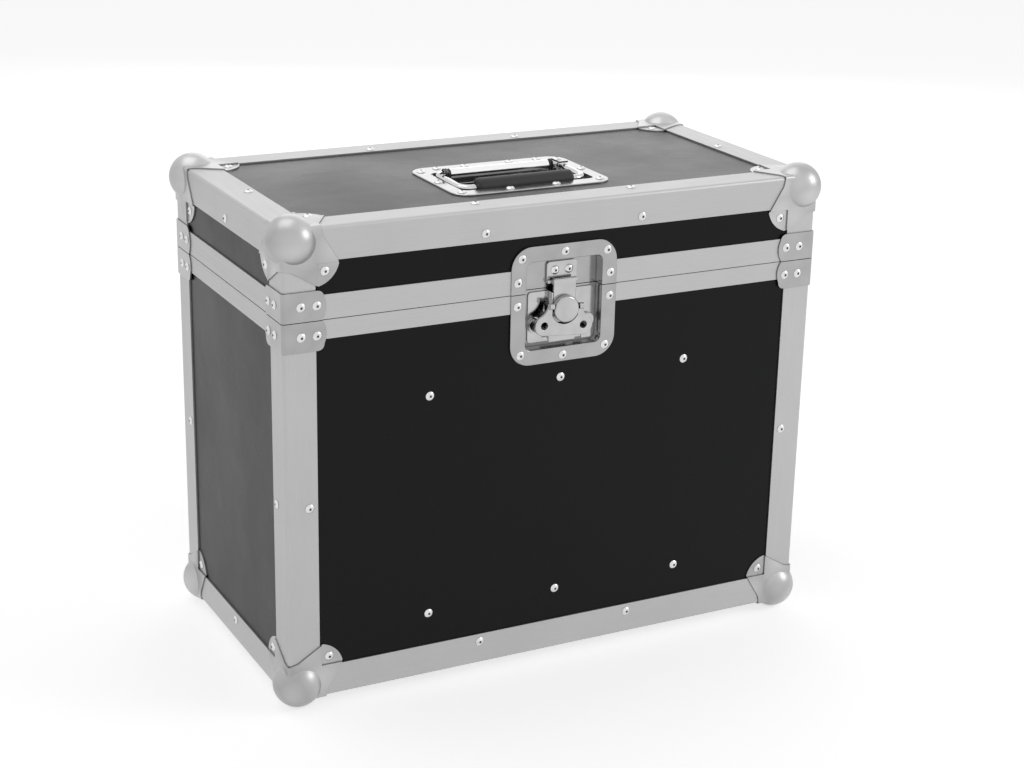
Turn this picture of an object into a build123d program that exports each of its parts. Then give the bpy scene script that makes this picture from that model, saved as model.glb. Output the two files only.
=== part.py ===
from build123d import *
import math
import os

os.makedirs("parts", exist_ok=True)

# Overall frame, in millimetres: X along the front, Y from front to back, Z up.
# The origin is on the ground, under the middle of the four lower ball corners.
case_width = 535.0
case_depth = 275.5
frame_height = 435.2
seam_height = 354.1
edge_leg = 29.8
edge_wall = 1.5
edge_round = 3.0
panel_thickness = 7.0

# The floor's outer face stands proud between the flanges and the ball corners
field_rise = 0.5
field_gap = 0.7
field_corner = 54.0

# Closing profiles where the lid meets the body
lid_band = 22.0
body_band = 17.2
rim_web = 5.0
rim_inner_wall = 1.5
rim_inner_leg = 17.0
tongue_near = 4.7
tongue_wall = 2.4
tongue_height = 3.0
tongue_clearance = 0.7
seam_relief_height = 0.35
seam_relief_depth = 1.0

# Ball corners and the braces beside the seam
ball_radius = 22.3
ball_inset = 12.7
ball_wall = 1.6
plate_wall = 1.2
corner_leg_at_edge = 35.2
corner_leg_knee = (37.0, 8.5)
corner_leg_inner = (50.4, 30.4)
corner_tab_side = (51.5, 33.0)
corner_tab_middle = 44.8
corner_riser = 1.4
corner_rivet = 38.7
brace_height = 26.5
brace_leg = 38.9
brace_rivet_near = 16.0
brace_rivet_far = 30.5

# Blind rivets
rivet_head_radius = 4.1
rivet_head_height = 1.7
rivet_shank_radius = 1.6
rivet_hole_gap = 0.1
mandrel_radius = 1.2
mandrel_depth = 2.4
frame_rivet_from_edge = 22.0
frame_rivet_side = 78.5
upright_rivet_height = 184.0

# Inside: dividers in channels, foam
divider_pitch = 130.5
divider_thickness = 6.0
divider_height = 291.0
channel_wall = 1.2
channel_leg = 10.0
channel_low = 45.0
channel_high = 286.0
channel_rivet_low = 60.8
channel_rivet_high = 271.0
divider_gap = 0.3
foam_gap = 0.3
floor_foam = 10.0
lid_foam_thickness = 12.0
lid_foam_inner = 80.0

# Latch dish
dish_width = 106.5
dish_top = 42.6
dish_bottom = 67.4
dish_radius = 20.0
dish_rivet_radius_gap = 0.6
opening_width = 77.0
opening_top = 28.4
opening_bottom = 53.4
opening_radius = 6.0
dish_wall = 1.2
dish_depth = 12.0
dish_hole_gap = 0.5
dish_corner_rivet = (43.2, 32.4, 56.9)
dish_middle_rivet = (35.4, 61.3)
dish_side_rivet = (46.7, 10.9)

# Latch mechanism. Depths run inwards from the frame's front face.
latch_x = 2.0
cam_below_seam = 18.1
cam_tilt = 4.5
base_plate_size = (66.0, 47.0)
base_plate_wall = 1.5
guide_wall = 1.2
guide_gap = 0.4
guide_front = 2.2
guide_half_height = 15.5
bearing_radius = 7.0
bearing_front = 5.2
shaft_radius = 4.0
shaft_gap = 0.06
eccentric = 3.5
hook_width = 22.0
hook_front = 1.8
hook_wall = 2.0
hook_below_cam = 12.5
hook_lip_low = 4.3
hook_lip_high = 9.5
hook_lip_front = 1.7
hook_lip_back = 5.8
slot_size = (16.0, 10.4)
drum_radius = 12.3
drum_front = -4.3
drum_back = 1.6
drum_round = 2.0
wing_front = -1.0
wing_wall = 2.4
ear_reach = 19.9
ear_below = 15.7
ear_radius = 9.3
ear_hole_radius = 3.5
ear_join_angle = 60.0
neck_inner = 12.9
neck_outer = 17.4
neck_top = 1.5
neck_curve = (20.2, -4.2)
wing_cut_radius = 14.2
pin_above_cam = 2.5
pin_depth = -1.4
pin_radius = 1.3
pin_gap = 0.05
knuckle_radius = 2.9
rest_front = 2.3
rest_low = 30.5
rest_back_low = 25.3
rest_high = 20.0
rest_spans = ((-15.0, 11.5), (18.5, 28.0))
eyelet_x = 26.5
eyelet_below_cam = 15.7
eyelet_radius = 6.5
eyelet_bore = 2.8
eyelet_height = 3.2
keeper_width = 30.0
keeper_low = 5.0
keeper_high = 24.0
keeper_wall = 2.5
keeper_lip_front = 6.1
keeper_lip_height = 2.6
keeper_rivet_spacing = 14.0
keeper_rivet_height = 16.2

# Hinges on the back
hinge_spacing = 150.0
hinge_width = 60.0
leaf_wall = 1.6
leaf_body = 16.0
leaf_lid = 20.0
leaf_knuckle_gap = 4.6
knuckle_barrel = 4.0
hinge_pin_radius = 2.0
hinge_pin_gap = 0.05
hinge_axis_out = 4.4
knuckle_count = 5
knuckle_side_gap = 0.3
hinge_rivet_side = 21.0
hinge_rivet_from_seam = 11.2

# Spring handle in its plate on the lid
handle_x = -1.0
handle_plate_size = (160.0, 111.5)
handle_plate_y = -30.25
handle_plate_radius = 17.0
handle_plate_wall = 1.5
recess_half_width = 67.5
recess_front = -70.5
recess_back = 2.5
recess_depth = 14.0
recess_round = 6.0
recess_floor_round = 3.0
recess_wall = 1.2
handle_axis_y = -6.5
bail_radius = 3.5
bail_gap = 0.08
bail_half_width = 63.0
bail_reach = 52.0
bail_drop = 1.7
bail_rear_bend = 5.5
bail_front_bend = 10.0
bail_stub_from = 34.0
sleeve_radius = 5.0
sleeve_half_length = 51.0
grip_radius = 9.0
grip_half_length = 48.5
grip_round = 3.0
spring_wire_radius = 0.8
spring_mean_radius = 4.8
spring_pitch = 2.2
spring_turns = 2
spring_from = 52.2
spring_leg = 11.0
spring_leg_end = 64.0
handle_rivets = (
    (70.5, -74.5),
    (23.5, -77.0),
    (74.0, -32.0),
    (71.5, 11.0),
    (52.5, 18.0),
    (23.5, 18.0),
)

# Heights and faces worked out from the sizes above
stand = ball_radius - ball_inset
base_z = stand
top_z = base_z + frame_height
seam_z = base_z + seam_height
half_width = case_width / 2
half_depth = case_depth / 2
panel_face = edge_wall
panel_back = edge_wall + panel_thickness
rim_back = panel_back + rim_inner_wall
floor_z = base_z + panel_back
ceiling_z = top_z - panel_back
cam_z = seam_z - cam_below_seam
dish_floor = dish_depth - plate_wall
base_front = dish_floor - base_plate_wall

front_plane = Plane(origin=(0, -half_depth, 0), x_dir=(1, 0, 0), z_dir=(0, -1, 0))
back_plane = Plane(origin=(0, half_depth, 0), x_dir=(-1, 0, 0), z_dir=(0, 1, 0))
left_plane = Plane(origin=(-half_width, 0, 0), x_dir=(0, -1, 0), z_dir=(-1, 0, 0))
right_plane = Plane(origin=(half_width, 0, 0), x_dir=(0, 1, 0), z_dir=(1, 0, 0))
top_plane = Plane(origin=(0, 0, top_z), x_dir=(1, 0, 0), z_dir=(0, 0, 1))
under_plane = Plane(origin=(0, 0, base_z), x_dir=(1, 0, 0), z_dir=(0, 0, -1))
latch_plane = Plane(origin=(latch_x, -half_depth, cam_z), x_dir=(1, 0, 0), z_dir=(0, -1, 0))
tilt = math.radians(cam_tilt)
cam_plane = Plane(
    origin=(latch_x, -half_depth, cam_z),
    x_dir=(math.cos(tilt), 0, -math.sin(tilt)),
    z_dir=(0, -1, 0),
)

pieces = {}


def finish(name, builder):
    """Label a finished piece and write its file."""
    builder.part.label = name
    pieces[name] = builder.part
    export_step(builder.part, f"parts/{name}.step")


class Rivet:
    """A blind rivet: the face it sits on, its place there, its seat and its grip."""

    def __init__(self, plane, across, along, seat, grip=panel_back):
        self.location = plane.offset(seat).location * Location((across, along, 0))
        self.shank = seat + grip


def rivets_into(holes):
    """Cut the shank holes of these rivets out of the piece being built."""
    for shank in sorted({rivet.shank for rivet in holes}):
        places = [rivet.location for rivet in holes if rivet.shank == shank]
        with Locations(*places):
            Cylinder(
                rivet_shank_radius + rivet_hole_gap,
                2 * shank,
                mode=Mode.SUBTRACT,
            )


def rivet_blank(shank):
    """A domed rivet with its mandrel hole, seated on Z = 0 and pointing up."""
    with BuildPart() as blank:
        with BuildSketch(Plane.XZ):
            with BuildLine():
                Polyline(
                    (0, rivet_head_height - mandrel_depth),
                    (0, -shank),
                    (rivet_shank_radius, -shank),
                    (rivet_shank_radius, 0),
                    (rivet_head_radius, 0),
                    (rivet_head_radius, 0.3),
                )
                ThreePointArc(
                    (rivet_head_radius, 0.3),
                    (0.68 * rivet_head_radius, 0.78 * rivet_head_height),
                    (mandrel_radius, rivet_head_height),
                )
                Polyline(
                    (mandrel_radius, rivet_head_height),
                    (mandrel_radius, rivet_head_height - mandrel_depth),
                    (0, rivet_head_height - mandrel_depth),
                )
            make_face()
        revolve(axis=Axis.Z)
    return blank.part


def make_rivets(name, rivets):
    """One node of separate rivets."""
    with BuildPart() as group:
        for shank in sorted({rivet.shank for rivet in rivets}):
            blank = rivet_blank(shank)
            with Locations(*[rivet.location for rivet in rivets if rivet.shank == shank]):
                add(blank)
    finish(name, group)


# Rivets of the frame: angles, ball corners, braces, channels, latch, hinges and handle
low_row = base_z + frame_rivet_from_edge
high_row = top_z - frame_rivet_from_edge
deep_row = half_depth - frame_rivet_from_edge
wide_row = half_width - frame_rivet_from_edge
upright_z = base_z + upright_rivet_height

body_frame_holes = []
lid_frame_holes = []
for plane in (front_plane, back_plane):
    for side in (-1, 1):
        body_frame_holes.append(Rivet(plane, side * frame_rivet_side, low_row, 0))
        body_frame_holes.append(Rivet(plane, side * wide_row, upright_z, 0))
        lid_frame_holes.append(Rivet(plane, side * frame_rivet_side, high_row, 0))
for plane in (left_plane, right_plane):
    body_frame_holes.append(Rivet(plane, 0, low_row, 0))
    lid_frame_holes.append(Rivet(plane, 0, high_row, 0))
    for side in (-1, 1):
        body_frame_holes.append(Rivet(plane, side * deep_row, upright_z, 0))
for plane, group in ((under_plane, body_frame_holes), (top_plane, lid_frame_holes)):
    for side in (-1, 1):
        group.append(Rivet(plane, side * frame_rivet_side, deep_row, 0))
        group.append(Rivet(plane, side * frame_rivet_side, -deep_row, 0))
        group.append(Rivet(plane, side * wide_row, 0, 0))

body_corner_holes = []
lid_corner_holes = []
tab_seat = plate_wall - edge_wall
for plane, reach in (
    (front_plane, half_width),
    (back_plane, half_width),
    (left_plane, half_depth),
    (right_plane, half_depth),
):
    for side in (-1, 1):
        across = side * (reach - corner_rivet)
        body_corner_holes.append(Rivet(plane, across, base_z + corner_rivet, tab_seat))
        lid_corner_holes.append(Rivet(plane, across, top_z - corner_rivet, tab_seat))
        for from_corner in (brace_rivet_near, brace_rivet_far):
            across = side * (reach - from_corner)
            half_brace = brace_height / 2
            body_corner_holes.append(Rivet(plane, across, seam_z - half_brace, plate_wall))
            lid_corner_holes.append(Rivet(plane, across, seam_z + half_brace, plate_wall))
for plane, group in ((under_plane, body_corner_holes), (top_plane, lid_corner_holes)):
    for side_x in (-1, 1):
        for side_y in (-1, 1):
            across = side_x * (half_width - corner_rivet)
            along = side_y * (half_depth - corner_rivet)
            group.append(Rivet(plane, across, along, tab_seat))

divider_xs = (-divider_pitch, 0.0, divider_pitch)
channel_holes = [
    Rivet(plane, x, base_z + height, -panel_face, panel_back + channel_wall)
    for plane in (front_plane, back_plane)
    for x in divider_xs
    for height in (channel_rivet_low, channel_rivet_high)
]

body_latch_holes = []
lid_latch_holes = []
for side in (-1, 1):
    across, above, below = dish_corner_rivet
    lid_latch_holes.append(Rivet(front_plane, side * across, seam_z + above, plate_wall))
    body_latch_holes.append(Rivet(front_plane, side * across, seam_z - below, plate_wall))
    across, off_seam = dish_side_rivet
    lid_latch_holes.append(Rivet(front_plane, side * across, seam_z + off_seam, plate_wall))
    body_latch_holes.append(Rivet(front_plane, side * across, seam_z - off_seam, plate_wall))
above, below = dish_middle_rivet
lid_latch_holes.append(Rivet(front_plane, 0, seam_z + above, plate_wall))
body_latch_holes.append(Rivet(front_plane, 0, seam_z - below, plate_wall))

body_hinge_holes = []
lid_hinge_holes = []
for hinge_x in (-hinge_spacing, hinge_spacing):
    for side in (-1, 0, 1):
        across = hinge_x + side * hinge_rivet_side
        body_hinge_holes.append(
            Rivet(back_plane, across, seam_z - hinge_rivet_from_seam, leaf_wall)
        )
        lid_hinge_holes.append(
            Rivet(back_plane, across, seam_z + hinge_rivet_from_seam, leaf_wall)
        )

handle_holes = [
    Rivet(top_plane, handle_x + side * across, along, 0)
    for across, along in handle_rivets
    for side in (-1, 1)
]

keeper_holes = [
    Rivet(
        latch_plane,
        side * keeper_rivet_spacing / 2,
        cam_below_seam + keeper_rivet_height,
        keeper_wall - dish_floor,
        dish_depth,
    )
    for side in (-1, 1)
]

body_holes = body_frame_holes + body_corner_holes + channel_holes
body_holes += body_latch_holes + body_hinge_holes
lid_holes = lid_frame_holes + lid_corner_holes + lid_latch_holes
lid_holes += lid_hinge_holes + handle_holes


def holes_near(holes, builder):
    """Those rivets whose shanks reach the piece being built."""
    box = builder.part.bounding_box()
    near = []
    for rivet in holes:
        place = rivet.location.position
        margin = rivet.shank + rivet_head_radius
        inside = (
            box.min.X - margin < place.X < box.max.X + margin
            and box.min.Y - margin < place.Y < box.max.Y + margin
            and box.min.Z - margin < place.Z < box.max.Z + margin
        )
        if inside:
            near.append(rivet)
    return near


def cut_holes(holes, builder):
    """Drill the piece being built for the rivets that pass through it."""
    near = holes_near(holes, builder)
    if near:
        rivets_into(near)


def block(low, high, mode=Mode.ADD):
    """A box between two corners."""
    size = [top - bottom for bottom, top in zip(low, high)]
    with Locations(Location(tuple(low))):
        Box(*size, align=(Align.MIN, Align.MIN, Align.MIN), mode=mode)


# Latch dish cut-out through panel and closing profiles
dish_hole_half = opening_width / 2 + dish_wall + dish_hole_gap
dish_hole_low = seam_z - opening_bottom - dish_wall - dish_hole_gap
dish_hole_high = seam_z + opening_top + dish_wall + dish_hole_gap


def cut_dish_hole():
    """Take the latch dish's hole out of the front piece being built."""
    block(
        (-dish_hole_half, -half_depth - 1, dish_hole_low),
        (dish_hole_half, -half_depth + rim_back + 1, dish_hole_high),
        Mode.SUBTRACT,
    )


def wall_panel(name, side, low_z, high_z, holes, has_dish=False):
    """A laminated plywood wall, standing on one side of the case."""
    inner_x = half_width - panel_back
    outer_x = half_width - panel_face
    inner_y = half_depth - panel_back
    outer_y = half_depth - panel_face
    spans = {
        "front": ((-inner_x, -outer_y), (inner_x, -inner_y)),
        "back": ((-inner_x, inner_y), (inner_x, outer_y)),
        "left": ((-outer_x, -outer_y), (-inner_x, outer_y)),
        "right": ((inner_x, -outer_y), (outer_x, outer_y)),
    }
    low, high = spans[side]
    with BuildPart() as panel:
        block((*low, low_z), (*high, high_z))
        if has_dish:
            cut_dish_hole()
        cut_holes(holes, panel)
    finish(name, panel)


def flat_panel(name, low_z, holes, pan_hole=False, field=False):
    """A laminated plywood floor or lid, between the four walls."""
    reach_x = half_width - panel_back
    reach_y = half_depth - panel_back
    with BuildPart() as panel:
        block((-reach_x, -reach_y, low_z), (reach_x, reach_y, low_z + panel_thickness))
        if pan_hole:
            clear = recess_wall + dish_hole_gap
            reach = recess_half_width + clear
            block(
                (handle_x - reach, recess_front - clear, low_z - 1),
                (handle_x + reach, recess_back + clear, low_z + panel_thickness + 1),
                Mode.SUBTRACT,
            )
        if field:
            for inset_x, inset_y in (
                (edge_leg + field_gap, field_corner),
                (field_corner, edge_leg + field_gap),
            ):
                field_x, field_y = half_width - inset_x, half_depth - inset_y
                block((-field_x, -field_y, low_z - field_rise), (field_x, field_y, low_z))
        cut_holes(holes, panel)
    finish(name, panel)


# Walls, floor and lid
body_wall_low = base_z + panel_face
body_wall_high = seam_z - rim_web
lid_wall_low = seam_z + rim_web
lid_wall_high = top_z - panel_face
for side in ("front", "back", "left", "right"):
    is_front = side == "front"
    wall_panel(
        f"body_{side}_panel", side, body_wall_low, body_wall_high, body_holes, is_front
    )
    wall_panel(f"lid_{side}_panel", side, lid_wall_low, lid_wall_high, lid_holes, is_front)
flat_panel("body_bottom_panel", base_z + panel_face, body_holes, field=True)
flat_panel("lid_top_panel", top_z - panel_back, lid_holes, pan_hole=True)


def angle_section(corner_u, corner_v, side_u, side_v):
    """The L of an edge angle in the current sketch, its outer corner at u, v."""
    half = edge_leg / 2
    with Locations((corner_u - side_u * half, corner_v - side_v * half)):
        Rectangle(edge_leg, edge_leg)
    outer = max(vertices(), key=lambda v: side_u * v.X + side_v * v.Y)
    fillet(outer, edge_round)
    shift = half + edge_wall
    with Locations((corner_u - side_u * shift, corner_v - side_v * shift)):
        Rectangle(edge_leg, edge_leg, mode=Mode.SUBTRACT)


def upright_angle(side_x, side_y, low_z, high_z, holes):
    """A vertical edge angle at one corner of the case."""
    with BuildPart() as angle:
        with BuildSketch(Plane.XY.offset(low_z)):
            angle_section(side_x * half_width, side_y * half_depth, side_x, side_y)
        extrude(amount=high_z - low_z)
        cut_holes(holes, angle)
    return angle


def level_angle(name, side, side_z, holes):
    """A horizontal edge angle along one side, stopping short of the corner angles."""
    corner_z = base_z if side_z < 0 else top_z
    lengthwise = side in ("front", "back")
    sign = -1 if side in ("front", "left") else 1
    with BuildPart() as angle:
        if lengthwise:
            with BuildSketch(Plane.YZ):
                angle_section(sign * half_depth, corner_z, sign, side_z)
            extrude(amount=half_width - edge_leg, both=True)
        else:
            with BuildSketch(Plane.XZ):
                angle_section(sign * half_width, corner_z, sign, side_z)
            extrude(amount=half_depth - edge_leg, both=True)
        cut_holes(holes, angle)
    finish(name, angle)


corner_names = {
    (-1, -1): "front_left",
    (1, -1): "front_right",
    (-1, 1): "back_left",
    (1, 1): "back_right",
}
for (side_x, side_y), corner_name in corner_names.items():
    finish(
        f"body_edge_{corner_name}",
        upright_angle(side_x, side_y, base_z, seam_z - body_band, body_holes),
    )
with BuildPart() as lid_corner_angles:
    for side_x, side_y in corner_names:
        add(upright_angle(side_x, side_y, seam_z + lid_band, top_z, lid_holes).part)
finish("lid_corner_angles", lid_corner_angles)
for side in ("front", "back", "left", "right"):
    level_angle(f"bottom_edge_{side}", side, -1, body_holes)
    level_angle(f"lid_edge_{side}", side, 1, lid_holes)


def mitred_strip(side, near, far):
    """Plan corners of one side of the case's ring, between two depths, mitred."""
    near_x, near_y = half_width - near, half_depth - near
    far_x, far_y = half_width - far, half_depth - far
    strips = {
        "front": [(-near_x, -near_y), (near_x, -near_y), (far_x, -far_y), (-far_x, -far_y)],
        "back": [(near_x, near_y), (-near_x, near_y), (-far_x, far_y), (far_x, far_y)],
        "left": [(-near_x, near_y), (-near_x, -near_y), (-far_x, -far_y), (-far_x, far_y)],
        "right": [(near_x, -near_y), (near_x, near_y), (far_x, far_y), (far_x, -far_y)],
    }
    return strips[side]


def strip(side, near, far, low_z, high_z, mode=Mode.ADD):
    """A mitred bar of the closing profile, put into the piece being built."""
    with BuildPart(mode=Mode.PRIVATE) as bar:
        with BuildSketch(Plane.XY.offset(low_z)):
            Polygon(*mitred_strip(side, near, far), align=None)
        extrude(amount=high_z - low_z)
    add(bar.part, mode=mode)


def body_rim(side):
    """The grooved closing profile on the body's top edge."""
    groove_near = tongue_near - tongue_clearance
    groove_far = tongue_near + tongue_wall + tongue_clearance
    groove_low = seam_z - tongue_height - tongue_clearance
    with BuildPart() as rim:
        strip(side, 0, edge_wall, seam_z - body_band, seam_z)
        strip(side, edge_wall, rim_back, seam_z - rim_web, seam_z)
        strip(side, panel_back, rim_back, seam_z - rim_inner_leg, seam_z - rim_web)
        strip(side, groove_near, groove_far, groove_low, seam_z, Mode.SUBTRACT)
        relief_low = seam_z - seam_relief_height
        strip(side, 0, seam_relief_depth, relief_low, seam_z, Mode.SUBTRACT)
        if side == "front":
            cut_dish_hole()
        cut_holes(body_holes, rim)
    finish(f"body_rim_{side}", rim)


def lid_rim(side):
    """The tongued closing profile on the lid's lower edge."""
    with BuildPart() as rim:
        strip(side, 0, edge_wall, seam_z, seam_z + lid_band)
        strip(side, edge_wall, rim_back, seam_z, seam_z + rim_web)
        strip(side, panel_back, rim_back, seam_z + rim_web, seam_z + rim_inner_leg)
        strip(side, tongue_near, tongue_near + tongue_wall, seam_z - tongue_height, seam_z)
        relief_high = seam_z + seam_relief_height
        strip(side, 0, seam_relief_depth, seam_z, relief_high, Mode.SUBTRACT)
        if side == "front":
            cut_dish_hole()
        cut_holes(lid_holes, rim)
    finish(f"lid_rim_{side}", rim)


for side in ("front", "back", "left", "right"):
    body_rim(side)
    lid_rim(side)


# One face of a ball corner, the case's corner at 0, 0, and its parts: leg, tab and riser
knee_u, knee_v = corner_leg_knee
inner_u, inner_v = corner_leg_inner
tab_u, tab_v = corner_tab_side
with BuildSketch() as corner_face:
    with BuildLine():
        Polyline(
            (-plate_wall, corner_leg_at_edge),
            (-plate_wall, -plate_wall),
            (corner_leg_at_edge, -plate_wall),
            (corner_leg_at_edge, 0),
            (knee_u, knee_v),
            (inner_u, inner_v),
            (tab_u, tab_v),
        )
        ThreePointArc((tab_u, tab_v), (corner_tab_middle, corner_tab_middle), (tab_v, tab_u))
        Polyline(
            (tab_v, tab_u),
            (inner_v, inner_u),
            (knee_v, knee_u),
            (0, corner_leg_at_edge),
            (-plate_wall, corner_leg_at_edge),
        )
    make_face()


def corner_face_part(start, mode):
    """The corner's face with the square past this point kept or taken away."""
    with BuildSketch() as face:
        add(corner_face.sketch)
        with Locations((start, start)):
            Rectangle(edge_leg, edge_leg, align=(Align.MIN, Align.MIN), mode=mode)
    return face.sketch


leg_face = corner_face_part(edge_leg, Mode.SUBTRACT)
tab_face = corner_face_part(edge_leg, Mode.INTERSECT)
with BuildSketch() as riser_face:
    add(tab_face)
    with Locations((edge_leg + corner_riser,) * 2):
        Rectangle(
            edge_leg, edge_leg, align=(Align.MIN, Align.MIN), mode=Mode.SUBTRACT
        )

# A plane of each face at the corner, with its normal pointing out of the case
corner_faces = (
    Plane(origin=(0, 0, 0), x_dir=(0, 1, 0), z_dir=(0, 0, -1)),
    Plane(origin=(0, 0, 0), x_dir=(1, 0, 0), z_dir=(0, -1, 0)),
    Plane(origin=(0, 0, 0), x_dir=(0, 0, 1), z_dir=(-1, 0, 0)),
)
with BuildPart() as corner_block:
    block((-plate_wall,) * 3, (2 * edge_leg,) * 3)
    round_edges = [
        edge
        for edge in corner_block.edges()
        if sum(abs(c + plate_wall) < 0.01 for c in tuple(edge.center())) == 2
    ]
    fillet(round_edges, edge_round)
with BuildPart() as ball_corner:
    for face_plane in corner_faces:
        with BuildSketch(face_plane):
            add(leg_face)
        extrude(amount=plate_wall)
    add(corner_block.part, mode=Mode.INTERSECT)
    with Locations(Location((ball_inset,) * 3)):
        Sphere(ball_radius)
        Sphere(ball_radius - ball_wall, mode=Mode.SUBTRACT)
    block((0, 0, 0), (3 * edge_leg,) * 3, Mode.SUBTRACT)
    for face_plane in corner_faces:
        with BuildSketch(face_plane.offset(-edge_wall)):
            add(tab_face)
        extrude(amount=plate_wall)
        with BuildSketch(face_plane.offset(-edge_wall)):
            add(riser_face.sketch)
        extrude(amount=edge_wall + plate_wall)


def at_corners(blank, height, upwards):
    """Copies of a corner piece at the four corners of the case at one height."""
    turned = blank if upwards else blank.mirror(Plane.XY)
    copies = []
    for side_x, side_y in corner_names:
        copy = turned
        if side_x > 0:
            copy = copy.mirror(Plane.YZ)
        if side_y > 0:
            copy = copy.mirror(Plane.XZ)
        copies.append(
            copy.moved(Location((side_x * half_width, side_y * half_depth, height)))
        )
    return copies


def corner_group(name, blank, height, upwards, holes):
    """The four copies of a corner piece, drilled for their rivets."""
    with BuildPart() as group:
        for copy in at_corners(blank, height, upwards):
            add(copy)
        cut_holes(holes, group)
    finish(name, group)


corner_group("body_ball_corners", ball_corner.part, base_z, True, body_corner_holes)
corner_group("lid_ball_corners", ball_corner.part, top_z, False, lid_corner_holes)

# Brace: an L of plate round the corner, standing on the seam
with BuildPart() as brace:
    for face_plane in (corner_faces[1], corner_faces[2]):
        is_side = face_plane is corner_faces[2]
        with BuildSketch(face_plane):
            with BuildLine():
                outline = [
                    (-plate_wall, seam_relief_height),
                    (brace_leg - 3.5, seam_relief_height),
                    (brace_leg, 11.0),
                    (brace_leg - 1.9, 20.5),
                    (brace_leg - 3.6, 24.8),
                    (brace_leg - 7.9, brace_height),
                    (-plate_wall, brace_height),
                ]
                if is_side:
                    outline = [(v, u) for u, v in outline]
                Line(outline[0], outline[1])
                ThreePointArc(outline[1], outline[2], outline[3])
                ThreePointArc(outline[3], outline[4], outline[5])
                Polyline(outline[5], outline[6], outline[0])
            make_face()
        extrude(amount=plate_wall)
    outer_edge = brace.edges().filter_by(Axis.Z).sort_by(Axis.X)[0]
    fillet(outer_edge, edge_round)
corner_group("lid_corner_braces", brace.part, seam_z, True, lid_corner_holes)
corner_group("body_corner_braces", brace.part, seam_z, False, body_corner_holes)

# Dividers in riveted channels
channel_high_z = base_z + channel_high
channel_low_z = base_z + channel_low
inner_y = half_depth - panel_back
divider_reach = inner_y - channel_wall - divider_gap
for divider_name, x in zip(("left", "centre", "right"), divider_xs):
    with BuildPart() as divider:
        block(
            (x - divider_thickness / 2, -divider_reach, floor_z),
            (x + divider_thickness / 2, divider_reach, base_z + divider_height),
        )
    finish(f"divider_{divider_name}", divider)
channel_half = divider_thickness / 2 + divider_gap
with BuildPart() as divider_channels:
    for x in divider_xs:
        for side in (-1, 1):
            web = sorted((side * inner_y, side * (inner_y - channel_leg)))
            outer = channel_half + channel_wall
            block((x - outer, web[0], channel_low_z), (x + outer, web[1], channel_high_z))
            slot = sorted((side * (inner_y - channel_wall), side * (inner_y - channel_leg)))
            block(
                (x - channel_half, slot[0], channel_low_z),
                (x + channel_half, slot[1], channel_high_z),
                Mode.SUBTRACT,
            )
    cut_holes(channel_holes, divider_channels)
finish("divider_channels", divider_channels)

# Foam pads: one in each compartment and two under the lid
compartment_edges = [-(half_width - panel_back), *divider_xs, half_width - panel_back]
with BuildPart() as floor_foam_pads:
    for index in range(len(compartment_edges) - 1):
        left_gap = foam_gap if index == 0 else foam_gap + divider_thickness / 2
        last = index == len(compartment_edges) - 2
        right_gap = foam_gap if last else foam_gap + divider_thickness / 2
        block(
            (compartment_edges[index] + left_gap, -inner_y + foam_gap, floor_z),
            (
                compartment_edges[index + 1] - right_gap,
                inner_y - foam_gap,
                floor_z + floor_foam,
            ),
        )
finish("body_foam", floor_foam_pads)
lid_foam_reach = half_width - panel_back - foam_gap
with BuildPart() as lid_foam_pads:
    for side in (-1, 1):
        spread = sorted((side * lid_foam_inner, side * lid_foam_reach))
        block(
            (spread[0], -inner_y + foam_gap, ceiling_z - lid_foam_thickness),
            (spread[1], inner_y - foam_gap, ceiling_z),
        )
finish("lid_foam", lid_foam_pads)


# Latch dish: a pressed flange and pan, made whole and parted at the seam
dish_middle = seam_z + (dish_top - dish_bottom) / 2
dish_height = dish_top + dish_bottom
opening_middle = seam_z + (opening_top - opening_bottom) / 2
opening_height = opening_top + opening_bottom
with BuildPart() as whole_dish:
    with BuildSketch(front_plane.offset(-panel_face)):
        with Locations((0, dish_middle)):
            RectangleRounded(dish_width, dish_height, dish_radius)
    extrude(amount=panel_face + plate_wall)
    rim_edges = whole_dish.faces().sort_by(Axis.Y)[0].edges()
    chamfer(rim_edges, 0.5)
    with BuildSketch(front_plane.offset(-panel_face)):
        with Locations((0, dish_middle)):
            RectangleRounded(
                dish_width - 2 * dish_wall,
                dish_height - 2 * dish_wall,
                dish_radius - dish_wall,
            )
    extrude(amount=panel_face, mode=Mode.SUBTRACT)
    with BuildSketch(front_plane.offset(-dish_depth)):
        with Locations((0, opening_middle)):
            RectangleRounded(
                opening_width + 2 * dish_wall,
                opening_height + 2 * dish_wall,
                opening_radius + dish_wall,
            )
    extrude(amount=dish_depth)
    with BuildSketch(front_plane.offset(-dish_floor)):
        with Locations((0, opening_middle)):
            RectangleRounded(opening_width, opening_height, opening_radius)
    extrude(amount=dish_floor + plate_wall, mode=Mode.SUBTRACT)
    mouth = whole_dish.faces().sort_by(Axis.Y)[0].inner_wires().edges()
    fillet(mouth, 0.9)
    block(
        (-dish_width, -half_depth, seam_z - body_band),
        (-dish_hole_half + dish_hole_gap, -half_depth + panel_face, seam_z + lid_band),
        Mode.SUBTRACT,
    )
    block(
        (dish_hole_half - dish_hole_gap, -half_depth, seam_z - body_band),
        (dish_width, -half_depth + panel_face, seam_z + lid_band),
        Mode.SUBTRACT,
    )
    cut_holes(body_latch_holes + lid_latch_holes, whole_dish)


def dish_part(name, keep, relief, extra_holes):
    """One half of the latch dish, stopping short of the seam."""
    with BuildPart() as half:
        add(whole_dish.part)
        split(bisect_by=Plane.XY.offset(seam_z + relief), keep=keep)
        cut_holes(extra_holes, half)
    finish(name, half)


dish_part("latch_lid_dish", Keep.TOP, seam_relief_height, keeper_holes)
dish_part("latch_body_dish", Keep.BOTTOM, -seam_relief_height, [])

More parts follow.
